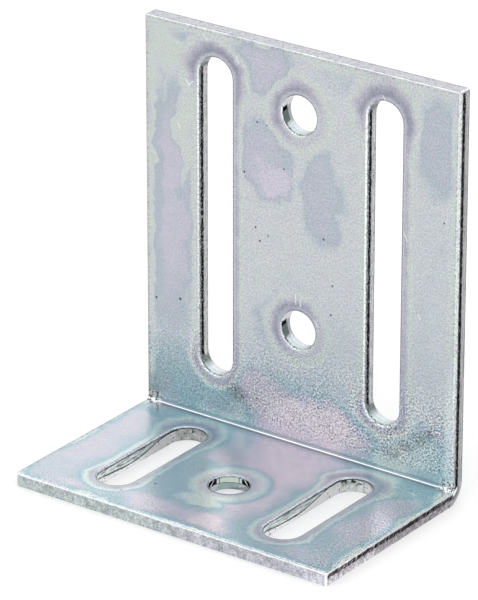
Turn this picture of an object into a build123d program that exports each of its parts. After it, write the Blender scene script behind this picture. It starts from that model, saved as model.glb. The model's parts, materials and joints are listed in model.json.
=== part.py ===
from build123d import *
import os

# Adjustable angle bracket: one sheet of zinc-plated steel, punched flat and folded once.
# The base leg lies on the XY plane, and the upright leg stands along its back edge.
# The origin is the middle of the footprint on the underside, with +Z up and the front towards -Y.

# Folded sheet, in millimetres
bracket_width = 65.0
upright_height = 75.0
base_depth = 40.0
sheet_thickness = 2.5

# The fold: the press nose leaves a tight crease, and the outside rounds more widely
crease_radius = 0.6
heel_radius = 4.0

# Round holes on the centreline, one punch for all three
hole_diameter = 7.0
upper_hole_from_top = 11.5
lower_hole_height = 24.0
base_hole_from_front = 17.5

# Slots for adjustment, one pair in each leg at the same spacing
slot_width = 7.0
slot_spacing = 35.0
upright_slot_from_top = 5.0
upright_slot_from_underside = 11.0
base_slot_from_front = 5.5
base_slot_from_back = 7.5

# Rounded corners of the blank, and the edges broken on the inner side of the fold
corner_radius = 0.6
rim_roll_radius = 0.35
outline_bevel = 0.25

# Steel that the fold squeezes out of its two ends, a low swelling on the inner side of the neutral line
swelling_height = 0.3
swelling_flatness = 3.0
swelling_length = 4.0
neutral_line_share = 0.45

# Places that follow from the sizes
back_y = base_depth / 2
front_y = -base_depth / 2
upright_inner_y = back_y - sheet_thickness
side_x = bracket_width / 2
arc_sagitta = 1 - 0.5**0.5
crease_y = upright_inner_y - crease_radius * arc_sagitta
crease_z = sheet_thickness + crease_radius * arc_sagitta
heel_y = back_y - heel_radius * arc_sagitta
heel_z = heel_radius * arc_sagitta
neutral_y = crease_y + neutral_line_share * (heel_y - crease_y)
neutral_z = crease_z + neutral_line_share * (heel_z - crease_z)
neutral_depth = neutral_line_share * (heel_y - crease_y) * 2**0.5
upper_hole_height = upright_height - upper_hole_from_top
base_hole_y = front_y + base_hole_from_front
upright_slot_top = upright_height - upright_slot_from_top
base_slot_front_y = front_y + base_slot_from_front
base_slot_back_y = back_y - base_slot_from_back


def folded_section():
    """The L of the sheet seen from its side, with the crease and the rounded heel of the fold."""
    with BuildSketch(Plane.YZ) as section:
        with BuildLine():
            Polyline(
                (front_y, 0),
                (back_y, 0),
                (back_y, upright_height),
                (upright_inner_y, upright_height),
                (upright_inner_y, sheet_thickness),
                (front_y, sheet_thickness),
                close=True,
            )
        make_face()
        heel = section.vertices().sort_by_distance((back_y, 0))[0]
        fillet(heel, heel_radius)
        inner_corner = section.vertices().sort_by_distance((upright_inner_y, sheet_thickness))[0]
        fillet(inner_corner, crease_radius)
    return section.sketch


def slot_pair(low, high):
    """Two slots side by side, each from low to high along the leg."""
    with BuildSketch() as pair:
        with GridLocations(slot_spacing, 0, 2, 1):
            with Locations((0, (low + high) / 2)):
                SlotOverall(high - low, slot_width, rotation=90)
    return pair.sketch


def hole_row(*places):
    """Round holes on the centreline, at the given places along the leg."""
    with BuildSketch() as row:
        with Locations(*[(0, place) for place in places]):
            Circle(hole_diameter / 2)
    return row.sketch


def punched(leg_plane, openings):
    """The slugs that the punch takes out of one leg, from its outer face to its inner face."""
    return extrude(leg_plane * openings, sheet_thickness)


def rolled_openings(sheet, leg_axis, point):
    """Rounds the rim of every opening in one leg, on the inner side of the fold."""
    leg_face = sheet.faces().filter_by(leg_axis).sort_by_distance(point)[0]
    rims = [edge for wire in leg_face.inner_wires() for edge in wire.edges()]
    return sheet.fillet(rim_roll_radius, rims)


def rounded_corners(sheet):
    """Rounds the four corners of the sheet, through its thickness."""
    top_corners = sheet.edges().filter_by(Axis.Y).group_by(Axis.Z)[-1]
    front_corners = sheet.edges().filter_by(Axis.Z).group_by(Axis.Y)[0]
    return sheet.fillet(corner_radius, [*top_corners, *front_corners])


def bevelled_outline(sheet):
    """Breaks the sheared edge that runs round both legs and the crease between them."""
    upright = sheet.faces().filter_by(Axis.Y).sort_by_distance((0, upright_inner_y, upright_height / 2))[0]
    base = sheet.faces().filter_by(Axis.Z).sort_by_distance((0, 0, sheet_thickness))[0]
    crease = sheet.faces().filter_by(GeomType.CYLINDER).sort_by_distance((0, crease_y, crease_z))[0]
    borders = [face.outer_wire().edges() for face in (upright, base, crease)]
    tangent_lines = [edge for edge in borders[2] if edge.geom_type == GeomType.LINE]
    outline = [
        edge
        for border in borders
        for edge in border
        if not any(edge.is_same(line) for line in tangent_lines)
    ]
    return sheet.chamfer(outline_bevel, None, outline)


def swelling(side):
    """The steel squeezed out of one end of the fold: the cap of a flat ball on the neutral line."""
    ball_depth = swelling_flatness * swelling_height
    ball_x = side * (side_x + swelling_height - ball_depth)
    ball_breadth = neutral_depth - outline_bevel
    ball = scale(Sphere(1), by=(ball_depth, ball_breadth, swelling_length / 2))
    return Pos(ball_x, neutral_y, neutral_z) * Rot(-45, 0, 0) * ball


def angle_bracket():
    """The whole bracket: fold, openings, rims, outline and the swellings at the fold's ends."""
    sheet = extrude(folded_section(), side_x, both=True)
    upright_plane = Plane(origin=(0, back_y, 0), x_dir=(1, 0, 0), z_dir=(0, -1, 0))
    sheet -= punched(upright_plane, slot_pair(upright_slot_from_underside, upright_slot_top))
    sheet -= punched(upright_plane, hole_row(lower_hole_height, upper_hole_height))
    sheet -= punched(Plane.XY, slot_pair(base_slot_front_y, base_slot_back_y))
    sheet -= punched(Plane.XY, hole_row(base_hole_y))
    sheet = rounded_corners(sheet)
    sheet = rolled_openings(sheet, Axis.Y, (0, upright_inner_y, upright_height / 2))
    sheet = rolled_openings(sheet, Axis.Z, (0, 0, sheet_thickness))
    sheet = bevelled_outline(sheet)
    return sheet + swelling(-1) + swelling(1)


bracket = angle_bracket()
os.makedirs("parts", exist_ok=True)
export_step(bracket, "parts/angle_bracket.step")
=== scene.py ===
from collections import namedtuple
import json
import math

import bpy
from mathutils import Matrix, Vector


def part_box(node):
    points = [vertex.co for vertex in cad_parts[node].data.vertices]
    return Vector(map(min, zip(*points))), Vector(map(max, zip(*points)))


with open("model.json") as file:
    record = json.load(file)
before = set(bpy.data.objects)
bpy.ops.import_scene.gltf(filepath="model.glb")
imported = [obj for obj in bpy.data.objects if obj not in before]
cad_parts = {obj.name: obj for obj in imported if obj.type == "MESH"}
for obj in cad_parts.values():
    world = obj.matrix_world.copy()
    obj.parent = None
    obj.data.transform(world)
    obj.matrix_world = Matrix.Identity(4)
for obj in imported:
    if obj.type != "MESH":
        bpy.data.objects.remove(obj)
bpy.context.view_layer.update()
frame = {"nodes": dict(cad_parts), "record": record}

# Sizes of the bracket in millimetres, as it was punched and folded
METRE = 1000.0
mounts = {mount["name"]: mount for mount in frame["record"]["mounts"]}
bracket_low, bracket_high = (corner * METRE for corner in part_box("angle_bracket"))
sheet_thickness = 2.5
crease_radius = 0.6
corner_radius = 0.6
swelling_height = 0.3
half_width = bracket_high.x - swelling_height
upright_inner_y = bracket_high.y - sheet_thickness
opening_radius = mounts["base_hole"]["dims"]["r_mm"]
slot_offset = 17.5
upright_slot_ends = (11.0, 70.0)
base_slot_ends = (-14.5, 12.5)

# Camera at the photograph's angle, on a long lens: degrees, metres and millimetres of lens and sensor
camera_azimuth = 36.05
camera_elevation = 23.49
camera_distance = 0.78276
camera_aim = (0.00022, 0.0, 0.03593)
camera_lens = 280.0
camera_sensor = 36.0
camera_clip = 0.01

# Light of a white studio: a dark side behind the bracket, and a bright card on the floor before it
floor_size = 6.0
floor_tone = (0.68, 0.68, 0.68)
floor_lift = 0.24
floor_in_reflections = 0.96
sky_low = 0.92
sky_high = 1.38
sky_rise = (-0.05, 0.8)
dark_side = (0.62, 0.78, 0.0)
dark_side_on_floor = (0.35, 0.75)
dark_side_in_sky = (0.45, 0.85)
dark_side_top = (0.3, 0.55)
dark_tone = 0.62
dim_side = (-0.84, 0.54, 0.0)
dim_side_on_floor = (0.8, 0.97)
dim_tone = 0.4
card_edge = 0.02
card_gain = 0.8

# Tones of the passivated film, from the thinnest to the deepest: on the open face, and towards the fold
face_tones = (
    (0.00, (0.31, 0.33, 0.405)),
    (0.08, (0.44, 0.445, 0.525)),
    (0.16, (0.56, 0.565, 0.625)),
    (0.23, (0.605, 0.645, 0.65)),
    (0.29, (0.625, 0.68, 0.645)),
    (0.37, (0.625, 0.655, 0.68)),
    (0.43, (0.59, 0.63, 0.665)),
    (0.50, (0.475, 0.53, 0.59)),
    (0.64, (0.555, 0.56, 0.645)),
    (0.80, (0.625, 0.605, 0.695)),
    (1.00, (0.66, 0.625, 0.73)),
)
fold_tones = (
    (0.00, (0.335, 0.37, 0.44)),
    (0.10, (0.48, 0.50, 0.57)),
    (0.20, (0.58, 0.61, 0.63)),
    (0.28, (0.64, 0.71, 0.67)),
    (0.36, (0.54, 0.66, 0.69)),
    (0.48, (0.35, 0.495, 0.545)),
    (0.62, (0.49, 0.545, 0.61)),
    (0.80, (0.60, 0.575, 0.65)),
    (1.00, (0.77, 0.70, 0.75)),
)
fold_tones_reach = (7.0, 15.0)
hue_least = (0.93, 0.94, 0.93)
hue_range = (0.14, 0.12, 0.14)

# Film on the open faces, at the sheet's border and in the halos of the openings
upright_film = 0.38
base_film = 0.53
border_film = 0.14
border_reach = (0.3, 2.4)
polished_film = 0.25
polished_reach = (0.4, 1.3)
slot_left_film = 0.24
slot_right_film = 0.04
slot_end_film = 0.0
slot_end_reach = (-6.0, 2.0)
hole_film_left = 0.0
hole_film_right = 0.16

# Widths of those halos in millimetres
slot_left_halo = 1.5
slot_right_halo = 2.1
slot_lower_halo = 2.6
slot_upper_halo = 4.2
upright_hole_halo = 3.5
base_hole_halo = 1.6

# Rings of film round the base's openings: where the film starts, and how it deepens for each millimetre
ring_start = 0.04
slot_side_ring_growth = 0.22
slot_end_ring_growth = 0.13
slot_end_ring_reach = 3.0
hole_ring_growth = 0.11
ring_softness = 0.06

# Where the film dried otherwise: middle across and along, half widths across and along, film
film_patches = (
    (-27.0, 31.0, 5.8, 34.0, 0.50),
    (-26.8, 40.0, 3.6, 19.0, 0.70),
    (-24.3, 52.0, 1.4, 12.0, 0.29),
    (-28.0, 67.0, 5.5, 4.5, 0.29),
    (-23.5, 70.0, 5.0, 2.6, 0.46),
    (-8.0, 68.5, 6.2, 5.6, 0.66),
    (-14.0, 72.0, 9.0, 2.4, 0.62),
    (8.0, 69.0, 5.0, 3.6, 0.45),
    (28.6, 62.0, 5.2, 10.5, 0.55),
    (-7.6, 51.0, 5.4, 7.6, 0.60),
    (-5.0, 47.4, 3.8, 3.8, 0.88),
    (4.6, 46.5, 4.0, 10.0, 0.58),
    (0.0, 22.5, 9.5, 8.0, 0.44),
    (-5.5, 22.5, 3.4, 5.5, 0.50),
    (0.0, 12.5, 15.0, 4.5, 0.44),
    (27.5, 34.0, 4.0, 20.0, 0.42),
    (28.2, 8.0, 3.8, 4.2, 0.72),
    (-23.0, 5.0, 10.5, 8.0, 0.49),
    (23.0, 4.0, 11.0, 6.5, 0.39),
    (-9.0, 8.5, 6.0, 4.0, 0.76),
    (3.0, 4.0, 12.5, 6.2, 1.00),
    (0.0, -6.0, 13.0, 10.0, 0.82),
    (7.2, -19.0, 3.8, 12.0, 0.88),
    (5.0, -34.5, 5.2, 4.2, 1.00),
    (-5.5, -34.5, 7.5, 4.2, 0.84),
    (-29.5, -18.0, 5.4, 22.0, 0.73),
    (-24.0, -37.0, 9.0, 3.4, 0.80),
    (28.0, -17.0, 3.8, 12.5, 0.74),
    (26.0, -35.0, 8.0, 4.0, 0.62),
    (0.0, -27.5, 6.0, 2.6, 0.29),
    (-29.0, -33.0, 5.0, 6.0, 0.64),
    (-26.0, -3.0, 6.0, 2.4, 0.48),
    (29.0, -4.5, 5.0, 4.0, 0.47),
    (-8.0, -10.5, 4.0, 4.6, 0.82),
    (21.0, 3.2, 7.0, 2.0, 0.33),
    (-31.4, 42.0, 0.9, 24.0, 0.29),
    (-29.9, 42.0, 1.1, 20.0, 0.52),
)
patch_drift = (8.0, 10.0, 0.0)

# Strength of the grain on each face, and of each kind of grain above the fold
upright_grain = 0.18
upright_left_grain = 0.08
base_grain = 0.10
base_right_grain = 0.36
base_front_grain = 0.14
fine_above_fold = 0.72
coarse_above_fold = 0.2
# Painted light: the band above the fold is lifted brighter
painted_light_above_fold = 0.15
specks_above_fold = 1.3
specks_elsewhere = 0.06
hollows_above_fold = 0.85
darkest_grain = -0.85

# Painted shade just above the fold, laid as dark specks: middle across and along, half widths across and
# along
shade_streaks = (
    (19.5, 3.9, 2.2, 1.2),
    (22.5, 5.9, 2.4, 1.3),
    (25.3, 7.8, 2.2, 1.3),
    (27.4, 9.3, 1.6, 1.0),
    (-13.0, 6.4, 2.8, 1.8),
)

# Specks that the plating left open: place across and along, radius
pits = (
    (-8.7, 57.9, 0.16),
    (-6.7, 57.7, 0.12),
    (-3.1, 50.6, 0.16),
    (-11.4, 48.2, 0.18),
    (-9.0, 38.5, 0.18),
    (-6.4, 37.5, 0.14),
    (-8.1, 36.2, 0.18),
    (5.2, 39.7, 0.18),
    (7.1, 31.6, 0.17),
    (6.8, 26.1, 0.17),
    (29.6, 48.6, 0.16),
    (-25.2, 21.0, 0.22),
    (-30.4, 20.0, 0.20),
    (-10.4, -27.1, 0.22),
    (-13.6, -32.5, 0.15),
)

# Hairline scratches: both ends across and along
scratches = (
    (-24.0, 62.6, -22.8, 61.0),
    (-23.6, 61.2, -21.9, 62.4),
    (-20.2, 71.5, -19.0, 70.2),
    (-13.2, 69.0, -12.6, 67.4),
    (-0.6, 28.4, -0.5, 26.0),
    (0.4, 27.6, 0.5, 25.8),
    (3.4, 24.4, 4.3, 23.0),
    (-25.6, 54.0, -24.9, 52.6),
    (21.6, 45.0, 22.4, 43.2),
    (24.5, 31.0, 25.2, 29.8),
    (16.9, 68.6, 17.7, 67.2),
    (22.0, -7.6, 25.6, -8.4),
    (26.0, -4.4, 28.4, -5.0),
    (5.6, -10.2, 6.4, -10.8),
)
scratch_half_width = (0.05, 0.14)

# Colours of the marks on the faces
white = (1.0, 1.0, 1.0)
# White of the frosted strip, and of the painted highlight sparkle on the openings' lips
frost_and_glint_white = (0.95, 0.98, 1.0)
# Painted highlight along the rolled edge of the sheet
edge_highlight_white = (0.97, 0.99, 1.0)
speck_white = (0.95, 0.97, 1.0)
scratch_white = (0.95, 0.96, 0.98)
# Painted dark reflection: the dotted line a little in from the sheet's border
edge_dark_reflection_grey = (0.13, 0.14, 0.15)
dent_grey = (0.10, 0.11, 0.12)
# Painted shade, laid as dark specks just above the fold
shade_streak_grey = (0.09, 0.105, 0.12)
pit_black = (0.03, 0.035, 0.04)
shade_above_crease = (0.20, 0.31, 0.36)
shade_below_crease = (0.20, 0.19, 0.24)
# Painted shade and glints where the fold's ends are crumpled: black, grey and white
crumple_shade_and_glint_tones = ((0.44, (0.008, 0.008, 0.01)), (0.48, (0.5, 0.55, 0.58)), (0.52, white))

# Widths of the marks along the rims, the border and the fold, in millimetres
# Painted highlight on the openings' lower-left lips: its widths, and the side it lies on
slot_glint_width = 0.54
hole_glint_width = 0.3
glint_side = (-0.86, -0.5, 0.0)
# Where the painted dark reflection line runs in from the border, and where the painted highlight at the
# very edge fades
edge_dark_reflection_row = (0.42, 0.72)
edge_highlight_reach = (0.3, 0.14)
# Painted highlight: the white line along the crease of the fold
crease_highlight = (-0.08, 0.07)
crease_shade_above = (0.12, 0.9)
crease_shade_below = (-0.75, -0.12)
crease_specks = (0.7, 2.2)
crumpled_ends = (1.8, 3.8)
crumpled_along = (-1.0, 1.8)
frosted_strip = (0.4, 2.0)
frosted_along = (1.0, 20.0)

# Colours of the punched and sheared walls, and their tones from the darkest flecks to the palest
torn_black = (0.008, 0.009, 0.01)
rim_black = (0.01, 0.011, 0.012)
rim_line_black = (0.02, 0.022, 0.024)
# Painted shade: the black line in the upright's round holes
shade_line_black = (0.004, 0.004, 0.005)
# Painted reflection: black gaps between the facets in the base's hole
gap_reflection_black = (0.012, 0.015, 0.016)
facet_line_black = (0.03, 0.035, 0.035)
step_black = (0.04, 0.04, 0.045)
far_rim_black = (0.05, 0.05, 0.055)
burr_grey = (0.14, 0.145, 0.15)
top_burr_grey = (0.14, 0.14, 0.16)
ledge_grey = (0.14, 0.16, 0.17)
smooth_fleck_grey = (0.2, 0.2, 0.22)
# Painted shade: the dark facet in the upright's round holes
facet_shade_green = (0.13, 0.17, 0.16)
# Painted reflection: green of the shaded floor seen in the base hole's lower wall
far_wall_reflection_green = (0.26, 0.38, 0.36)
# Painted reflection: pale green facets in the base's hole
facet_reflection_green = (0.60, 0.70, 0.62)
burnished_upper = (0.50, 0.61, 0.61)
burnished_lower = (0.60, 0.64, 0.68)
# Painted highlight: white streak on the base hole's facets
streak_highlight_white = (0.85, 0.87, 0.9)
# Painted highlight along the top lip of the base's outer walls
side_highlight_white = (0.84, 0.84, 0.87)
# Painted highlight on the rounded corners between the face and the outer walls
corner_highlight_white = (0.92, 0.94, 0.96)
# Painted highlight along the top lip of the base's front wall
front_highlight_white = (0.95, 0.98, 0.98)
smooth_white = (0.98, 0.98, 1.0)
pinker_tint = (1.06, 0.95, 1.06)
mottled_tones = ((0.38, (0.34, 0.34, 0.37)), (0.47, (0.76, 0.76, 0.80)), (0.56, white))
speckled_tones = ((0.42, (0.06, 0.065, 0.07)), (0.5, (0.46, 0.49, 0.51)), (0.60, white))
striped_tones = ((0.36, (0.08, 0.095, 0.10)), (0.45, (0.50, 0.58, 0.60)), (0.58, (0.95, 1.0, 1.0)))
slot_end_tones = ((0.36, (0.34, 0.40, 0.39)), (0.47, (0.68, 0.74, 0.72)), (0.58, (0.97, 1.0, 1.0)))
stroke_tones = ((0.50, (0.01, 0.01, 0.012)), (0.56, (0.20, 0.17, 0.19)), (0.63, (0.76, 0.74, 0.78)))
blotched_tones = ((0.38, (0.15, 0.14, 0.16)), (0.48, (0.43, 0.405, 0.44)), (0.61, (0.80, 0.77, 0.82)))
far_wall_tones = ((0.36, (0.30, 0.40, 0.41)), (0.62, (0.55, 0.54, 0.61)))
front_tones = ((0.38, (0.27, 0.31, 0.32)), (0.5, (0.49, 0.55, 0.55)), (0.63, (0.76, 0.82, 0.82)))
# Painted shade: dark scaly tones for the round walls that face right
scaly_shade_tones = ((0.42, (0.02, 0.025, 0.025)), (0.58, (0.36, 0.42, 0.40)))
top_tones = ((0.34, (0.20, 0.20, 0.24)), (0.44, (0.46, 0.46, 0.51)), (0.62, (0.60, 0.60, 0.65)))

# Depths of the marks on those walls, in millimetres below the face on the inner side of the fold
wall_top = (0.1, 0.22)
wall_bottom = (0.06, 0.01)
torn_band = (0.5, 1.28)
speckle_end = (1.0, 1.3)
burr_start = (2.2, 2.45)
top_burr_start = (2.1, 2.3)
fine_ledge = (1.22, 1.3)
round_rim_line = (0.16, 0.4)
slot_rim_line = (0.14, 0.34)
slot_end_rim_line = (0.08, 0.36)
slot_end_blobs = (0.1, 1.1)
ledge_line = (-0.2, 0.04)
# Painted highlight along the top lip of the base's outer and front walls
wall_highlight_depth = (0.55, 0.3)
strokes_end = (1.15, 1.4)
facets_end = (1.22, 1.3)
facets_step = (1.18, 1.3)
far_rim_line = (0.05, 0.2)
# Depths of the painted dark facet and the painted black line in the upright's holes
hole_shade_facet = (0.2, 1.75)
hole_shade_line = (0.12, 1.4)

# Gloss of the plating, and heights of its bumps in millimetres
metal_share = 0.87
face_roughness = 0.20
grain_roughness = 0.2
wall_roughness = 0.2
sheared_roughness = 0.5
peel_height_base = 0.012
peel_height_upright = 0.03
peel_height_above_fold = 0.02
drawn_in_width = 0.85
drawn_in_height = 0.16
wall_bump = 0.012
sheared_bump = 0.1


class Recipe:
    """Adds nodes to one node tree. An input is a plain value or another node's output."""

    def __init__(self, tree):
        self.nodes = tree.nodes
        self.links = tree.links
        self.nodes.clear()

    def node(self, kind, inputs=None, **settings):
        made = self.nodes.new(kind)
        for name, value in settings.items():
            setattr(made, name, value)
        for name, value in (inputs or {}).items():
            socket = made.inputs[name]
            if isinstance(value, bpy.types.NodeSocket):
                self.links.new(value, socket)
            elif socket.type == "RGBA":
                socket.default_value = (*value, 1.0)
            else:
                socket.default_value = value
        return made

    def math(self, operation, *values):
        return self.node("ShaderNodeMath", dict(enumerate(values)), operation=operation).outputs[0]

    def chain(self, operation, first, *others):
        """One operation over many values, from left to right."""
        result = first
        for other in others:
            result = self.math(operation, result, other)
        return result

    def add(self, *values):
        return self.chain("ADD", *values)

    def times(self, *values):
        return self.chain("MULTIPLY", *values)

    def least(self, *values):
        return self.chain("MINIMUM", *values)

    def most(self, *values):
        return self.chain("MAXIMUM", *values)

    def minus(self, value, other):
        return self.math("SUBTRACT", value, other)

    def absolute(self, value):
        return self.math("ABSOLUTE", value)

    def vector(self, operation, *values):
        made = self.node("ShaderNodeVectorMath", dict(enumerate(values)), operation=operation)
        return made.outputs["Value" if operation in ("LENGTH", "DOT_PRODUCT") else "Vector"]

    def length(self, vector):
        return self.vector("LENGTH", vector)

    def dot(self, vector, heading):
        return self.vector("DOT_PRODUCT", vector, heading)

    def shifted(self, vector, offset):
        return self.vector("ADD", vector, offset)

    def stretched(self, vector, factors):
        return self.vector("MULTIPLY", vector, factors)

    def scaled(self, vector, factor):
        inputs = {"Vector": vector, "Scale": factor}
        return self.node("ShaderNodeVectorMath", inputs, operation="SCALE").outputs["Vector"]

    def combine(self, x, y, z):
        return self.node("ShaderNodeCombineXYZ", {"X": x, "Y": y, "Z": z}).outputs[0]

    def split(self, vector):
        return self.node("ShaderNodeSeparateXYZ", {"Vector": vector}).outputs

    def ease(self, value, start, end, low=0.0, high=1.0):
        """From low at start to high at end, with soft corners."""
        inputs = {"Value": value, "From Min": start, "From Max": end, "To Min": low, "To Max": high}
        return self.node("ShaderNodeMapRange", inputs, interpolation_type="SMOOTHSTEP").outputs[0]

    def band(self, value, start, end, softness):
        """1 between start and end, 0 outside."""
        rise = self.ease(value, start - softness, start + softness)
        fall = self.ease(value, end - softness, end + softness, 1.0, 0.0)
        return self.times(rise, fall)

    def noise(self, place, per_mm, detail=2.0, roughness=0.5, output=0):
        inputs = {"Vector": place, "Scale": per_mm, "Detail": detail, "Roughness": roughness}
        return self.node("ShaderNodeTexNoise", inputs).outputs[output]

    def swing(self, place, per_mm, amount, detail=2.0, roughness=0.5):
        """Noise about zero, from minus to plus the amount."""
        return self.times(self.minus(self.noise(place, per_mm, detail, roughness), 0.5), 2 * amount)

    def ragged(self, value, place, per_mm, amount, detail=2.0, roughness=0.5):
        """A distance that wanders by the amount, so that the lines drawn from it come out torn."""
        return self.add(value, self.swing(place, per_mm, amount, detail, roughness))

    def flecks(self, place, per_mm, detail, roughness, start, end, low=0.0, high=1.0):
        """Noise cut to flecks: low where it is under start, high where it is over end."""
        return self.ease(self.noise(place, per_mm, detail, roughness), start, end, low, high)

    def mix(self, factor, first, second):
        """Two colours mixed by a factor."""
        return self.node("ShaderNodeMix", {0: factor, 6: first, 7: second}, data_type="RGBA").outputs[2]

    def blend(self, factor, first, second):
        """Two numbers mixed by a factor."""
        return self.node("ShaderNodeMix", {0: factor, 2: first, 3: second}, data_type="FLOAT").outputs[0]

    def laid(self, under, over, *shares):
        """One colour laid over another, by the product of the shares."""
        return self.mix(self.times(*shares), under, over)

    def ramp(self, factor, stops):
        made = self.node("ShaderNodeValToRGB", {"Fac": factor})
        band = made.color_ramp
        while len(band.elements) < len(stops):
            band.elements.new(1.0)
        for element, (place, colour) in zip(band.elements, stops):
            element.position = place
            element.color = (*colour, 1.0)
        return made.outputs["Color"]


def sheet_coordinates(recipe):
    """Across, along and into the sheet as it was before folding, in millimetres."""
    place = recipe.node("ShaderNodeTexCoord").outputs["Object"]
    split = recipe.split(recipe.scaled(place, METRE))
    x, y, z = split["X"], split["Y"], split["Z"]
    up = recipe.most(recipe.minus(z, sheet_thickness), 0.0)
    forward = recipe.least(recipe.minus(y, upright_inner_y), 0.0)
    past_axis_y = recipe.most(recipe.minus(y, upright_inner_y - crease_radius), 0.0)
    past_axis_z = recipe.most(recipe.minus(sheet_thickness + crease_radius, z), 0.0)
    from_axis = recipe.length(recipe.combine(past_axis_y, past_axis_z, 0.0))
    return x, recipe.add(up, forward), recipe.minus(from_axis, crease_radius)


def hole_places():
    """Round holes, in millimetres along the sheet from the inner corner of the fold."""
    middle = mounts["upright_holes"]["pos_m"][2] * METRE - sheet_thickness
    reach = mounts["upright_holes"]["dims"]["spacing_y_mm"] / 2
    return middle + reach, middle - reach, mounts["base_hole"]["pos_m"][1] * METRE - upright_inner_y


def slot_places():
    """Both ends of the upright's slots and of the base's, in millimetres along the sheet."""
    upright = [end - sheet_thickness for end in upright_slot_ends]
    base = [end - upright_inner_y for end in base_slot_ends]
    return upright, base


# What surrounds an opening: the way from its middle line, the distance from its rim, and its halo
Opening = namedtuple("Opening", "offset away spread film")


def slot_opening(recipe, x, along, low, high):
    """The two slots of one leg, with a halo that is wider and deeper at their ends."""
    middle = (low + high) / 2
    aside = recipe.minus(recipe.absolute(x), slot_offset)
    rightward = recipe.times(aside, recipe.math("SIGN", x))
    ends = {"Value": along, "Min": low + opening_radius, "Max": high - opening_radius}
    nearest = recipe.node("ShaderNodeClamp", ends).outputs[0]
    offset = recipe.combine(rightward, recipe.minus(along, nearest), 0.0)
    away = recipe.minus(recipe.length(offset), opening_radius)
    upward = recipe.minus(along, middle)
    past = recipe.minus(recipe.absolute(upward), high - middle - opening_radius)
    at_end = recipe.ease(past, *slot_end_reach)
    side_width = recipe.ease(rightward, -1.0, 1.0, slot_left_halo, slot_right_halo)
    end_width = recipe.ease(upward, -1.0, 1.0, slot_lower_halo, slot_upper_halo)
    width = recipe.blend(at_end, side_width, end_width)
    side_film = recipe.ease(rightward, -1.0, 1.0, slot_left_film, slot_right_film)
    film = recipe.blend(at_end, side_film, slot_end_film)
    return Opening(offset, away, recipe.math("DIVIDE", away, width), film)


def hole_opening(recipe, x, along, hole):
    """One round hole, with a halo that is deeper to its upper left."""
    offset = recipe.combine(x, recipe.minus(along, hole), 0.0)
    away = recipe.minus(recipe.length(offset), opening_radius)
    width = recipe.ease(along, -1.0, 1.0, base_hole_halo, upright_hole_halo)
    upper_left = recipe.dot(recipe.vector("NORMALIZE", offset), (-0.76, 0.65, 0.0))
    film = recipe.ease(upper_left, -0.7, 0.7, hole_film_right, hole_film_left)
    return Opening(offset, away, recipe.math("DIVIDE", away, width), film)


def rim_glint_share(recipe, opening, width):
    """1 on the painted highlight along the lower left of an opening's rim, where the light catches the
    rolled lip.
    """
    towards = recipe.dot(recipe.vector("NORMALIZE", opening.offset), glint_side)
    near = recipe.ease(opening.away, 0.6 * width, width, 1.0, 0.0)
    return recipe.times(recipe.ease(towards, -0.1, 0.55), near)


def outline_distance(recipe, x, along):
    """Distance in from the sheet's own edge, in millimetres."""
    side = recipe.minus(half_width, recipe.absolute(x))
    top = recipe.minus(bracket_high.z - sheet_thickness, along)
    front = recipe.add(along, upright_inner_y - bracket_low.y)
    end = recipe.least(top, front)
    past_side = recipe.most(recipe.minus(corner_radius, side), 0.0)
    past_end = recipe.most(recipe.minus(corner_radius, end), 0.0)
    past_corner = recipe.length(recipe.combine(past_side, past_end, 0.0))
    inside = recipe.most(recipe.least(side, end), corner_radius)
    return recipe.minus(inside, past_corner)


def patched_film(recipe, x, along, place):
    """Film of the open faces, with the patches where it dried otherwise and their wandering borders."""
    drift = recipe.vector("SUBTRACT", recipe.noise(place, 0.16, 3.5, 0.55, output=1), (0.5, 0.5, 0.5))
    drifted = recipe.shifted(recipe.combine(x, along, 0.0), recipe.stretched(drift, patch_drift))
    film = recipe.ease(along, -1.5, 1.5, base_film, upright_film)
    for across, up, half_across, half_along, patch_film in film_patches:
        away = recipe.vector("SUBTRACT", drifted, (across, up, 0.0))
        away = recipe.length(recipe.vector("DIVIDE", away, (half_across, half_along, 1.0)))
        film = recipe.blend(recipe.ease(away, 0.5, 1.25, 1.0, 0.0), film, patch_film)
    return recipe.ragged(film, place, 0.22, 0.085, 5.0, 0.6)


def ring_film(recipe, along, place, rim, nearest_hole):
    """Film that deepens away from the base's openings. On the upright it is too deep to show."""
    _, (low, high) = slot_places()
    straight_half = (high - low) / 2 - opening_radius
    towards_end = recipe.absolute(recipe.minus(along, (low + high) / 2))
    end_start = straight_half - slot_end_ring_reach
    end_full = straight_half + slot_end_ring_reach
    growth = recipe.ease(towards_end, end_start, end_full, slot_side_ring_growth, slot_end_ring_growth)
    from_slot = recipe.add(recipe.times(rim, growth), recipe.ease(rim, 2.0, 3.6, 0.0, 0.45))
    from_hole = recipe.ragged(recipe.times(nearest_hole, hole_ring_growth), place, 0.3, 0.04, 3.0)
    from_hole = recipe.add(from_hole, recipe.ease(nearest_hole, 3.6, 5.2, 0.0, 0.4))
    ring = recipe.ragged(recipe.least(from_slot, from_hole), place, 0.4, 0.1, 4.0, 0.6)
    return recipe.add(ring, ring_start, recipe.ease(along, -1.5, 2.0))


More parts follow.
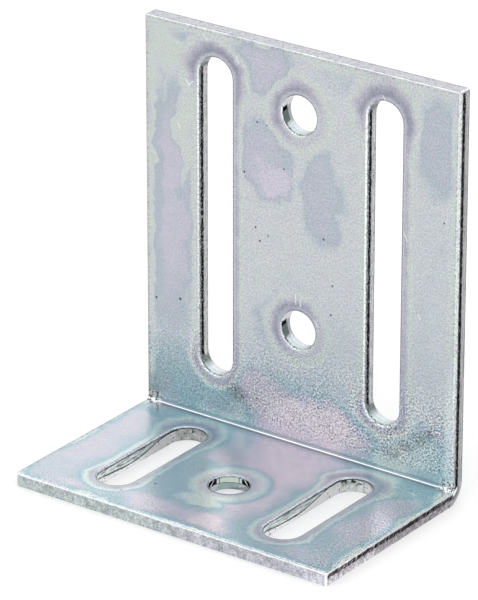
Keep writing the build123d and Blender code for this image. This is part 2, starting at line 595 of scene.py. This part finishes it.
def film_depth(recipe, x, along, place, rim, nearest_hole, openings, edge):
    """How deep the passivated film is at each place, as a place among the film tones."""
    film = patched_film(recipe, x, along, place)
    border = recipe.ease(recipe.ragged(edge, place, 0.3, 0.9, 4.0, 0.6), *border_reach, 1.0, 0.0)
    border = recipe.times(border, recipe.flecks(place, 0.12, 3.0, 0.5, 0.38, 0.62, 0.1, 0.8))
    film = recipe.blend(border, film, border_film)
    ripple = recipe.swing(place, 0.35, 0.35, 4.0, 0.6)
    for opening in openings:
        clear = recipe.ease(recipe.add(opening.spread, ripple), 0.18, 1.35)
        film = recipe.blend(clear, opening.film, film)
    polished = recipe.ease(recipe.ragged(rim, place, 0.8, 0.3, 3.0), *polished_reach, 0.6, 0.0)
    film = recipe.blend(polished, film, polished_film)
    ring = ring_film(recipe, along, place, rim, nearest_hole)
    film = recipe.math("SMOOTH_MIN", film, ring, ring_softness)
    return recipe.ragged(film, place, 2.2, 0.05, 3.0, 0.75)


def passivated_tone(recipe, film, along, place):
    """Colour of the film: the scale changes towards the fold, and the hue wanders a little."""
    from_fold = recipe.ragged(along, place, 0.2, 3.0, 3.0)
    towards_fold = recipe.ease(from_fold, *fold_tones_reach, 1.0, 0.0)
    tone = recipe.mix(towards_fold, recipe.ramp(film, face_tones), recipe.ramp(film, fold_tones))
    hue = recipe.noise(recipe.shifted(place, (40.0, 10.0, 0.0)), 0.5, 5.0, 0.65, output=1)
    hue = recipe.shifted(recipe.stretched(hue, hue_range), hue_least)
    return recipe.stretched(tone, hue)


def grain_level(recipe, x, along, place, above_fold):
    """How strong the fine grain is: faint to the upright's left, and strong above and beside the fold."""
    upright = recipe.ease(x, -29.0, -20.0, upright_left_grain, upright_grain)
    level = recipe.ease(along, -1.0, 1.0, base_grain, upright)
    beside = recipe.times(recipe.ease(along, -1.0, -3.0), recipe.ease(x, 20.0, 30.0, 0.0, base_right_grain))
    before = recipe.ease(along, -31.0, -36.0, 0.0, base_front_grain)
    patchy = recipe.flecks(place, 0.3, 3.0, 0.6, 0.36, 0.64, 0.5, 1.3)
    return recipe.add(level, beside, before, recipe.times(above_fold, patchy, fine_above_fold))


def steel_grain(recipe, x, along, place):
    """Brightness of the grain about one: fine on the open face, coarse above the fold and to its right,
    with painted light that lifts the band above the fold.
    """
    above_fold = recipe.times(recipe.ease(along, 1.5, 3.2), recipe.ease(along, 9.0, 21.0, 1.0, 0.0))
    above_fold = recipe.times(above_fold, recipe.ease(x, -30.0, 24.0, 0.35, 1.0))
    fine = recipe.flecks(place, 2.9, 3.0, 0.85, 0.36, 0.64, -1.0, 1.0)
    slanted = recipe.combine(recipe.dot(place, (0.45, 0.35, 0.0)), recipe.dot(place, (-1.9, 2.4, 0.0)), 0.0)
    coarse = recipe.flecks(slanted, 1.0, 3.0, 0.8, 0.38, 0.62, -1.0, 1.0)
    specks = recipe.flecks(recipe.shifted(place, (9.0, 4.0, 0.0)), 2.5, 2.0, 0.9, 0.56, 0.66)
    hollows = recipe.flecks(recipe.shifted(place, (3.0, 27.0, 0.0)), 2.7, 2.0, 0.9, 0.58, 0.68)

    grain = recipe.times(fine, grain_level(recipe, x, along, place, above_fold))
    grain = recipe.add(grain, recipe.times(coarse, above_fold, coarse_above_fold))
    # Painted light lifting the band above the fold
    grain = recipe.add(grain, recipe.times(above_fold, painted_light_above_fold))
    grain = recipe.ragged(grain, place, 0.5, 0.06, 4.0, 0.65)
    speck_level = recipe.add(recipe.times(above_fold, specks_above_fold), specks_elsewhere)
    grain = recipe.add(grain, recipe.times(recipe.minus(specks, 0.12), speck_level))
    grain = recipe.minus(grain, recipe.times(recipe.minus(hollows, 0.1), above_fold, hollows_above_fold))
    grain = recipe.most(grain, darkest_grain)

    rolled = recipe.swing(recipe.stretched(place, (0.12, 2.6, 1.0)), 1.0, 0.05, 3.0, 0.6)
    rolled = recipe.times(rolled, recipe.ease(along, 12.0, 24.0))
    oblique = recipe.combine(recipe.dot(place, (0.12, 0.08, 0.0)), recipe.dot(place, (-1.6, 2.4, 0.0)), 0.0)
    oblique = recipe.times(recipe.swing(oblique, 1.0, 0.13, 3.0, 0.6), recipe.ease(along, 2.0, -2.0))
    return recipe.add(1.0, grain, rolled, oblique), above_fold


def shade_streak_share(recipe, flat):
    """1 in the middle of each patch of painted shade, falling to 0 round it."""
    shares = []
    for across, up, half_across, half_along in shade_streaks:
        away = recipe.vector("SUBTRACT", flat, (across, up, 0.0))
        away = recipe.length(recipe.vector("DIVIDE", away, (half_across, half_along, 1.0)))
        shares.append(recipe.ease(away, 0.4, 1.2, 1.0, 0.0))
    return recipe.most(*shares)


def pit_share(recipe, flat):
    """1 on the pits."""
    shares = []
    for across, up, radius in pits:
        away = recipe.length(recipe.vector("SUBTRACT", flat, (across, up, 0.0)))
        shares.append(recipe.ease(away, 0.6 * radius, 1.5 * radius, 1.0, 0.0))
    return recipe.most(*shares)


def scratch_share(recipe, flat):
    """1 on the scratches, which thin out towards their ends."""
    shares = []
    for start_x, start_along, end_x, end_along in scratches:
        length = math.dist((start_x, start_along), (end_x, end_along))
        heading = ((end_x - start_x) / length, (end_along - start_along) / length, 0.0)
        sideways = (-heading[1], heading[0], 0.0)
        middle = ((start_x + end_x) / 2, (start_along + end_along) / 2, 0.0)
        offset = recipe.vector("SUBTRACT", flat, middle)
        beside = recipe.absolute(recipe.dot(offset, sideways))
        beyond = recipe.absolute(recipe.dot(offset, heading))
        line = recipe.ease(beside, *scratch_half_width, 1.0, 0.0)
        shares.append(recipe.times(line, recipe.ease(beyond, 0.3 * length, 0.5 * length, 1.0, 0.0)))
    return recipe.most(*shares)


def edge_marks(recipe, face, edge, place):
    """Painted dark reflection, a dotted line along the sheet's border, and a painted highlight along its
    rolled edge.
    """
    dotted = recipe.flecks(place, 1.6, 4.0, 0.7, 0.5, 0.58)
    # Painted dark reflection line along the border
    face = recipe.laid(face, edge_dark_reflection_grey, recipe.band(edge, *edge_dark_reflection_row, 0.1), dotted, 0.5)
    ragged_edge = recipe.ragged(edge, place, 1.4, 0.4, 5.0, 0.75)
    glint_flecks = recipe.flecks(place, 0.35, 4.0, 0.7, 0.4, 0.56, 0.3, 0.85)
    glint_flecks = recipe.times(glint_flecks, recipe.flecks(place, 2.1, 3.0, 0.8, 0.42, 0.5, 0.25, 1.0))
    # Painted highlight along the rolled edge
    return recipe.laid(face, edge_highlight_white, recipe.ease(ragged_edge, *edge_highlight_reach), glint_flecks)


def lip_marks(recipe, face, lip, place):
    """Painted highlight sparkle on the lower-left lips of the openings, and dents on them."""
    # Painted highlight sparkle on the lips
    sparkle = recipe.flecks(place, 2.4, 4.0, 0.85, 0.44, 0.56, 0.0, 0.9)
    face = recipe.laid(face, frost_and_glint_white, lip, sparkle)
    dents = recipe.flecks(recipe.shifted(place, (0.0, 30.0, 0.0)), 2.4, 3.0, 0.8, 0.56, 0.64)
    return recipe.laid(face, dent_grey, lip, dents, 0.7)


def fold_marks(recipe, face, x, along, edge, place):
    """The crease: a painted highlight between two painted shades, pale specks above it, and its crumpled
    ends with painted shade and glints.
    """
    face = recipe.laid(face, shade_above_crease, recipe.band(along, *crease_shade_above, 0.12), 0.5)
    face = recipe.laid(face, shade_below_crease, recipe.band(along, *crease_shade_below, 0.08), 0.72)
    # Painted highlight along the crease
    crease_glint_flecks = recipe.flecks(place, 0.3, 4.0, 0.7, 0.36, 0.5, 0.5, 1.0)
    face = recipe.laid(face, white, recipe.band(along, *crease_highlight, 0.04), crease_glint_flecks)
    specks = recipe.flecks(place, 2.6, 3.0, 0.8, 0.52, 0.6)
    specks = recipe.times(recipe.band(along, *crease_specks, 0.4), specks)
    face = recipe.laid(face, speck_white, specks, recipe.ease(x, 14.0, 24.0, 1.0, 0.5), 0.8)
    # Painted shade and glints on the crumpled ends of the fold
    crumple_shading = recipe.ramp(recipe.noise(place, 1.3, 3.0, 0.75), crumple_shade_and_glint_tones)
    at_ends = recipe.ease(edge, *crumpled_ends, 1.0, 0.0)
    return recipe.laid(face, crumple_shading, at_ends, recipe.band(along, *crumpled_along, 0.5), 0.95)


def handling_marks_and_shade(recipe, face, x, along, edge, place):
    """A frosted strip up the right border, painted shade of dark specks above the fold, hairline scratches
    and open pits.
    """
    flat = recipe.combine(x, along, 0.0)
    frosted = recipe.times(recipe.band(edge, *frosted_strip, 0.4), recipe.ease(x, 25.0, 27.0))
    frosted = recipe.times(frosted, recipe.band(along, *frosted_along, 4.0))
    frosted = recipe.times(frosted, recipe.flecks(place, 2.6, 3.0, 0.8, 0.45, 0.56))
    face = recipe.laid(face, frost_and_glint_white, frosted, 0.85)
    # Painted shade just above the fold, laid as dark specks
    streak_specks = recipe.flecks(place, 2.3, 3.0, 0.85, 0.47, 0.55)
    face = recipe.laid(face, shade_streak_grey, shade_streak_share(recipe, flat), streak_specks, 0.85)
    face = recipe.laid(face, scratch_white, scratch_share(recipe, flat), 0.75)
    return recipe.laid(face, pit_black, pit_share(recipe, flat))


def straight_wall(recipe, depth, place):
    """Sheared wall of a straight side: a bright lip, a torn black band, then finely striped metal."""
    ragged = recipe.ragged(depth, place, 1.1, 0.34, 5.0, 0.75)
    upper = recipe.ramp(recipe.noise(place, 3.6, 3.0, 0.8), speckled_tones)
    striped = recipe.noise(recipe.stretched(place, (1.0, 0.22, 3.2)), 1.0, 3.0, 0.7)
    mottled = recipe.blend(0.5, striped, recipe.noise(place, 2.4, 4.0, 0.8))
    lower = recipe.ramp(mottled, mottled_tones)
    wall = recipe.mix(recipe.ease(ragged, *speckle_end), upper, lower)
    bits = recipe.flecks(place, 2.7, 3.0, 0.8, 0.56, 0.62, 1.0, 0.12)
    broken = recipe.flecks(place, 0.7, 3.0, 0.7, 0.3, 0.4, 0.3, 1.0)
    wall = recipe.laid(wall, torn_black, recipe.band(ragged, *torn_band, 0.07), bits, broken)
    return recipe.laid(wall, burr_grey, recipe.ease(ragged, *burr_start, 0.0, 0.6))


def round_wall(recipe, depth, place):
    """Burnished wall of a round end, with one fine ledge at half its depth."""
    ragged = recipe.ragged(depth, place, 0.8, 0.12, 3.0)
    wall = recipe.mix(recipe.ease(ragged, 0.3, 1.8), burnished_upper, burnished_lower)
    wall = recipe.scaled(wall, recipe.ragged(1.0, place, 2.4, 0.42, 3.0, 0.75))
    wall = recipe.laid(wall, ledge_grey, recipe.band(ragged, *fine_ledge, 0.05), 0.5)
    dotted = recipe.flecks(place, 2.6, 2.0, 0.5, 0.44, 0.54)
    return recipe.laid(wall, rim_black, recipe.band(ragged, *round_rim_line, 0.06), dotted, 0.95)


def base_slot_wall(recipe, along, depth, place):
    """Long walls of the base slots: striped scale above, a curving black ledge, pale smooth metal below."""
    ledge = recipe.ease(along, -31.0, -21.0, 1.35, 1.9)
    ledge = recipe.add(ledge, recipe.ease(along, -20.0, -9.0, 0.0, -1.5))
    below = recipe.minus(recipe.ragged(depth, place, 1.1, 0.16, 4.0, 0.7), ledge)
    striped = recipe.noise(recipe.stretched(place, (1.0, 0.3, 2.6)), 1.1, 3.0, 0.75)
    scale = recipe.ramp(striped, striped_tones)
    smooth = recipe.mix(recipe.flecks(place, 2.6, 1.0, 0.5, 0.66, 0.70), smooth_white, smooth_fleck_grey)
    wall = recipe.mix(recipe.ease(below, 0.0, 0.08), scale, smooth)
    broken = recipe.flecks(place, 0.9, 3.0, 0.7, 0.34, 0.44, 0.35, 0.95)
    wall = recipe.laid(wall, rim_black, recipe.band(below, *ledge_line, 0.05), broken)
    dotted = recipe.flecks(place, 1.5, 3.0, 0.7, 0.42, 0.5, 0.2, 0.9)
    return recipe.laid(wall, rim_line_black, recipe.band(depth, *slot_rim_line, 0.05), dotted)


def slot_end_wall(recipe, depth, place):
    """Round ends of the base slots: pale mottled metal below a torn black line."""
    ragged = recipe.ragged(depth, place, 1.0, 0.28, 4.0, 0.7)
    wall = recipe.ramp(recipe.noise(place, 1.3, 4.0, 0.75), slot_end_tones)
    blobs = recipe.flecks(place, 0.6, 3.0, 0.7, 0.53, 0.58)
    wall = recipe.laid(wall, rim_black, blobs, recipe.band(ragged, *slot_end_blobs, 0.08), 0.95)
    return recipe.laid(wall, rim_line_black, recipe.band(ragged, *slot_end_rim_line, 0.06), 0.9)


def base_side_wall(recipe, depth, place):
    """The base's outer sides: a painted highlight on the torn lip, slanting black strokes, then blotched
    pinkish grey.
    """
    ragged = recipe.ragged(depth, place, 0.9, 0.42, 5.0, 0.75)
    slanted = recipe.combine(0.0, recipe.dot(place, (0.0, 1.7, 1.0)), recipe.dot(place, (0.0, 0.2, 0.6)))
    upper = recipe.ramp(recipe.noise(slanted, 1.2, 4.0, 0.8), stroke_tones)
    lower = recipe.ramp(recipe.noise(place, 1.8, 4.0, 0.8), blotched_tones)
    wall = recipe.mix(recipe.ease(ragged, *strokes_end), upper, lower)
    # Painted highlight on the torn lip
    return recipe.laid(wall, side_highlight_white, recipe.ease(ragged, *wall_highlight_depth, 0.0, 0.9))


def base_hole_wall(recipe, depth, place, facing):
    """Wall of the base's round hole: painted reflections above, black gaps, pale green facets and a white
    streak by the way it faces, and lilac metal below, greened by a painted reflection.
    """
    ragged = recipe.ragged(depth, place, 0.7, 0.14, 3.0)
    turn = recipe.add(recipe.times(facing["X"], 0.81), recipe.times(facing["Y"], 0.59))
    aside = recipe.absolute(turn)
    # Painted reflections chosen by the way the wall faces
    facet = recipe.mix(recipe.ease(aside, 0.6, 0.63), facet_reflection_green, gap_reflection_black)
    facet = recipe.laid(facet, facet_line_black, recipe.band(aside, 0.46, 0.5, 0.015), 0.92)
    streak = recipe.band(recipe.minus(aside, recipe.times(depth, 0.2)), 0.66, 0.73, 0.02)
    facet = recipe.laid(facet, streak_highlight_white, streak)
    lower = recipe.ramp(recipe.noise(place, 1.1, 3.0, 0.6), far_wall_tones)
    lower = recipe.laid(lower, far_wall_reflection_green, recipe.ease(aside, 0.35, 0.6, 0.7, 0.0))
    wall = recipe.mix(recipe.ease(ragged, *facets_end), facet, lower)
    wall = recipe.laid(wall, step_black, recipe.band(ragged, *facets_step, 0.05), 0.85)
    return recipe.laid(wall, far_rim_black, recipe.band(ragged, *far_rim_line, 0.05))


def front_wall(recipe, x, depth, place):
    """The base's front edge: a painted highlight on the ragged lip above a finely speckled grey body,
    pinker to the right.
    """
    ragged = recipe.ragged(depth, place, 1.0, 0.38, 5.0, 0.75)
    fine = recipe.noise(place, 4.2, 2.0, 0.7)
    blotched = recipe.noise(place, 0.9, 4.0, 0.7)
    wall = recipe.ramp(recipe.blend(0.45, fine, blotched), front_tones)
    pinker = recipe.ease(recipe.ragged(x, place, 0.2, 12.0), -14.0, 18.0)
    wall = recipe.mix(pinker, wall, recipe.stretched(wall, pinker_tint))
    # Painted highlight on the ragged lip
    return recipe.laid(wall, front_highlight_white, recipe.ease(ragged, *wall_highlight_depth, 0.0, 0.95))


def hole_marks(recipe, wall, depth, in_hole, facing):
    """Painted reflection and shade on the left of the upright's round holes: a pale upper wall, a black
    line and a dark facet, placed by the way the wall faces.
    """
    left = recipe.times(in_hole, recipe.ease(facing["X"], 0.3, 0.4))
    wandering = recipe.add(facing["Z"], recipe.times(depth, 0.06))
    # Painted highlight on the pale upper wall, by the way it faces
    wall = recipe.laid(wall, white, left, recipe.ease(wandering, -0.05, -0.15))
    # Painted shade: dark facet, then a black line, by depth and facing
    facet = recipe.times(recipe.band(depth, *hole_shade_facet, 0.06), recipe.band(wandering, 0.02, 0.64, 0.03))
    wall = recipe.laid(wall, facet_shade_green, left, facet, 0.85)
    shade_line = recipe.times(recipe.band(depth, *hole_shade_line, 0.08), recipe.band(wandering, -0.2, 0.07, 0.03))
    return recipe.laid(wall, shade_line_black, left, shade_line)


def upright_walls(recipe, x, along, depth, place, in_hole, straight, facing):
    """Walls of the upright leg: straight sides, round ends with painted shade where they face right, round
    holes and the top edge.
    """
    from_side = recipe.minus(half_width, recipe.absolute(x))
    shade = recipe.ease(from_side, 0.1, 0.3, 0.76, 1.0)
    sheared = recipe.scaled(straight_wall(recipe, depth, place), shade)
    # Painted shade on the round walls that face right, away from the holes
    shade_facing_right = recipe.times(recipe.ease(facing["X"], 0.5, 0.9), recipe.minus(1.0, in_hole), 0.75)
    scaly_shade = recipe.ramp(recipe.noise(place, 1.9, 4.0, 0.8), scaly_shade_tones)
    rounded = recipe.laid(round_wall(recipe, depth, place), scaly_shade, shade_facing_right)
    rounded = hole_marks(recipe, rounded, depth, in_hole, facing)
    walls = recipe.mix(straight, rounded, sheared)

    top = recipe.ramp(recipe.noise(place, 2.2, 4.0, 0.75), top_tones)
    burr = recipe.ease(recipe.ragged(depth, place, 1.0, 0.3, 4.0), *top_burr_start, 0.0, 0.6)
    top = recipe.mix(straight, recipe.laid(top, top_burr_grey, burr), sheared)
    top_edge = bracket_high.z - sheet_thickness - 1.0
    return recipe.mix(recipe.ease(along, top_edge - 0.1, top_edge + 0.1), walls, top)


def base_walls(recipe, x, along, depth, place, in_hole, sideways, facing):
    """Walls of the base leg: slots, hole, outer sides and front edge."""
    beside = recipe.times(recipe.ease(sideways, 0.9, 0.97), recipe.minus(1.0, in_hole))
    rounded = slot_end_wall(recipe, depth, place)
    rounded = recipe.mix(in_hole, rounded, base_hole_wall(recipe, depth, place, facing))
    walls = recipe.mix(beside, rounded, base_slot_wall(recipe, along, depth, place))
    outer = recipe.ease(recipe.absolute(x), half_width - 0.3, half_width - 0.1)
    walls = recipe.mix(outer, walls, base_side_wall(recipe, depth, place))
    front_edge = bracket_low.y - upright_inner_y
    front = recipe.ease(along, front_edge + 0.4, front_edge + 0.3)
    return recipe.mix(front, walls, front_wall(recipe, x, depth, place))


def wall_colour(recipe, x, along, depth, place, nearest_hole):
    """Colour of every punched and sheared wall, by which way it faces and which leg it is in, with a
    painted highlight on the rounded outer corners.
    """
    facing = recipe.split(recipe.node("ShaderNodeTexCoord").outputs["Normal"])
    sideways = recipe.absolute(facing["X"])
    in_hole = recipe.ease(nearest_hole, 0.3, 0.4, 1.0, 0.0)
    straight = recipe.times(recipe.ease(sideways, 0.93, 0.985), recipe.minus(1.0, in_hole))
    upright = upright_walls(recipe, x, along, depth, place, in_hole, straight, facing)
    base = base_walls(recipe, x, along, depth, place, in_hole, sideways, facing)
    walls = recipe.mix(recipe.ease(along, -0.6, 0.6), base, upright)
    # Painted highlight on the rounded outer corners, where the wall turns part way
    corner = recipe.ease(recipe.absolute(x), half_width - 0.7, half_width - 0.6)
    corner = recipe.times(recipe.band(sideways, 0.42, 0.84, 0.06), corner)
    glint_flecks = recipe.flecks(place, 2.2, 3.0, 0.75, 0.42, 0.52, 0.15, 0.9)
    return recipe.laid(walls, corner_highlight_white, corner, glint_flecks), straight


def surface_height(recipe, along, place, nearest_rim, wall, straight, above_fold):
    """Height of the surface: a faint peel on the faces, rims drawn in by the punch, and torn walls."""
    peel_height = recipe.ease(along, -1.0, 3.5, peel_height_base, peel_height_upright)
    peel_height = recipe.add(peel_height, recipe.times(above_fold, peel_height_above_fold))
    peel = recipe.times(recipe.swing(place, 2.4, 1.0, 3.0, 0.7), peel_height)
    drawn_in = recipe.math("POWER", recipe.ease(nearest_rim, 0.0, drawn_in_width, 1.0, 0.0), 2.0)
    ragged_rim = recipe.ragged(1.0, place, 2.6, 0.5, 3.0, 0.7)
    peel = recipe.minus(peel, recipe.times(drawn_in, ragged_rim, drawn_in_height))
    tearing = recipe.blend(straight, wall_bump, sheared_bump)
    tearing = recipe.times(recipe.swing(place, 2.6, 1.0, 4.0, 0.7), tearing)
    return recipe.times(recipe.blend(wall, peel, tearing), 1.0 / METRE)


def zinc_plating():
    """Zinc-plated sheet: satin faces under a passivated film, and sheared edges."""
    material = bpy.data.materials.new("zinc_plating")
    material.use_nodes = True
    recipe = Recipe(material.node_tree)
    x, along, depth = sheet_coordinates(recipe)
    place = recipe.combine(x, along, depth)
    slots = [slot_opening(recipe, x, along, low, high) for low, high in slot_places()]
    holes = [hole_opening(recipe, x, along, hole) for hole in hole_places()]
    nearest_hole = recipe.least(*[hole.away for hole in holes])
    rim = recipe.least(*[slot.away for slot in slots], nearest_hole)
    slot_glints = [rim_glint_share(recipe, slot, slot_glint_width) for slot in slots]
    hole_glints = [rim_glint_share(recipe, hole, hole_glint_width) for hole in holes]
    edge = outline_distance(recipe, x, along)

    film = film_depth(recipe, x, along, place, rim, nearest_hole, slots + holes, edge)
    grain, above_fold = steel_grain(recipe, x, along, place)
    face = recipe.scaled(passivated_tone(recipe, film, along, place), grain)
    face = edge_marks(recipe, face, edge, place)
    # Painted highlight on the lower-left lips of the openings
    face = lip_marks(recipe, face, recipe.most(*slot_glints, *hole_glints), place)
    face = fold_marks(recipe, face, x, along, edge, place)
    face = handling_marks_and_shade(recipe, face, x, along, edge, place)

    below_bottom = [sheet_thickness - rise for rise in wall_bottom]
    wall = recipe.times(recipe.ease(depth, *wall_top), recipe.ease(depth, *below_bottom, 1.0, 0.0))
    walls, straight = wall_colour(recipe, x, along, depth, place, nearest_hole)
    colour = recipe.mix(wall, face, walls)

    face_gloss = recipe.ragged(face_roughness, place, 0.6, 0.05, 3.0)
    face_gloss = recipe.add(face_gloss, recipe.times(above_fold, grain_roughness))
    wall_gloss = recipe.blend(straight, wall_roughness, sheared_roughness)
    nearest_rim = recipe.least(rim, edge)
    height = surface_height(recipe, along, place, nearest_rim, wall, straight, above_fold)
    bump = recipe.node("ShaderNodeBump", {"Strength": 1.0, "Distance": 1.0, "Height": height})

    # Only the blackest colours, such as the painted black gaps, lose their glancing reflection
    inputs = {"Base Color": colour, "Specular Tint": recipe.ease(colour, 0.01, 0.05)}
    inputs["Roughness"] = recipe.blend(wall, face_gloss, wall_gloss)
    inputs["Metallic"] = metal_share
    inputs["Normal"] = bump.outputs[0]
    shader = recipe.node("ShaderNodeBsdfPrincipled", inputs)
    recipe.node("ShaderNodeOutputMaterial", {"Surface": shader.outputs[0]})
    return material


def reflected_floor(recipe):
    """Brightness of the floor in the plating: darker behind and to the left, and one bright card."""
    place = recipe.node("ShaderNodeTexCoord").outputs["Object"]
    heading = recipe.vector("NORMALIZE", recipe.stretched(place, (1.0, 1.0, 0.0)))
    dark = recipe.dot(heading, dark_side)
    tone = recipe.ease(dark, *dark_side_on_floor, floor_in_reflections, dark_tone)
    tone = recipe.times(tone, recipe.ease(recipe.dot(heading, dim_side), *dim_side_on_floor, 1.0, dim_tone))
    split = recipe.split(place)
    card = recipe.ease(split["X"], card_edge, 2 * card_edge)
    card = recipe.times(card, recipe.ease(split["Y"], -card_edge / 2, 0.0, 1.0, 0.0))
    return recipe.times(tone, recipe.add(1.0, recipe.times(card, card_gain)))


def floor():
    """Pale studio floor: white to the camera, with the bracket's own shadow on it."""
    bpy.ops.mesh.primitive_plane_add(size=floor_size)
    ground = bpy.context.object
    ground.name = "floor"
    material = bpy.data.materials.new("floor_white")
    material.use_nodes = True
    recipe = Recipe(material.node_tree)
    path = recipe.node("ShaderNodeLightPath").outputs
    matte = recipe.node("ShaderNodeBsdfDiffuse", {"Color": floor_tone})
    lift = recipe.times(path["Is Camera Ray"], floor_lift)
    glow = recipe.node("ShaderNodeEmission", {"Color": white, "Strength": lift})
    seen = recipe.node("ShaderNodeAddShader", {0: matte.outputs[0], 1: glow.outputs[0]})
    mirrored = recipe.node("ShaderNodeEmission", {"Color": white, "Strength": reflected_floor(recipe)})
    shaders = {0: path["Is Glossy Ray"], 1: seen.outputs[0], 2: mirrored.outputs[0]}
    both = recipe.node("ShaderNodeMixShader", shaders)
    recipe.node("ShaderNodeOutputMaterial", {"Surface": both.outputs[0]})
    ground.data.materials.append(material)


def studio_world():
    """White to the camera; for light and reflections, a little paler above than low down."""
    world = bpy.data.worlds.new("studio")
    bpy.context.scene.world = world
    world.use_nodes = True
    recipe = Recipe(world.node_tree)
    direction = recipe.node("ShaderNodeTexCoord").outputs["Generated"]
    up = recipe.split(direction)["Z"]
    pale = recipe.ease(up, *sky_rise, sky_low, sky_high)
    shaded = recipe.ease(recipe.dot(direction, dark_side), *dark_side_in_sky)
    shaded = recipe.times(shaded, recipe.ease(up, *dark_side_top, 1.0, 0.0))
    pale = recipe.times(pale, recipe.ease(shaded, 0.0, 1.0, 1.0, dark_tone))
    light = recipe.node("ShaderNodeBackground", {"Color": white, "Strength": pale})
    backdrop = recipe.node("ShaderNodeBackground", {"Color": white, "Strength": 1.0})
    seen = recipe.node("ShaderNodeLightPath").outputs["Is Camera Ray"]
    mixed = recipe.node("ShaderNodeMixShader", {0: seen, 1: light.outputs[0], 2: backdrop.outputs[0]})
    recipe.node("ShaderNodeOutputWorld", {"Surface": mixed.outputs[0]})


def camera():
    """Long-lens camera with no shift and no depth of field."""
    data = bpy.data.cameras.new("camera")
    data.lens = camera_lens
    data.sensor_width = camera_sensor
    data.clip_start = camera_clip
    holder = bpy.data.objects.new("camera", data)
    turn = math.radians(camera_azimuth)
    lift = math.radians(camera_elevation)
    back = Vector((math.sin(turn) * math.cos(lift), -math.cos(turn) * math.cos(lift), math.sin(lift)))
    holder.location = Vector(camera_aim) + back * camera_distance
    holder.rotation_euler = (-back).to_track_quat("-Z", "Y").to_euler()
    bpy.context.scene.collection.objects.link(holder)
    bpy.context.scene.camera = holder


bracket = frame["nodes"]["angle_bracket"]
bracket.data.materials.clear()
bracket.data.materials.append(zinc_plating())
floor()
studio_world()
camera()
bpy.context.scene.view_settings.view_transform = "Standard"
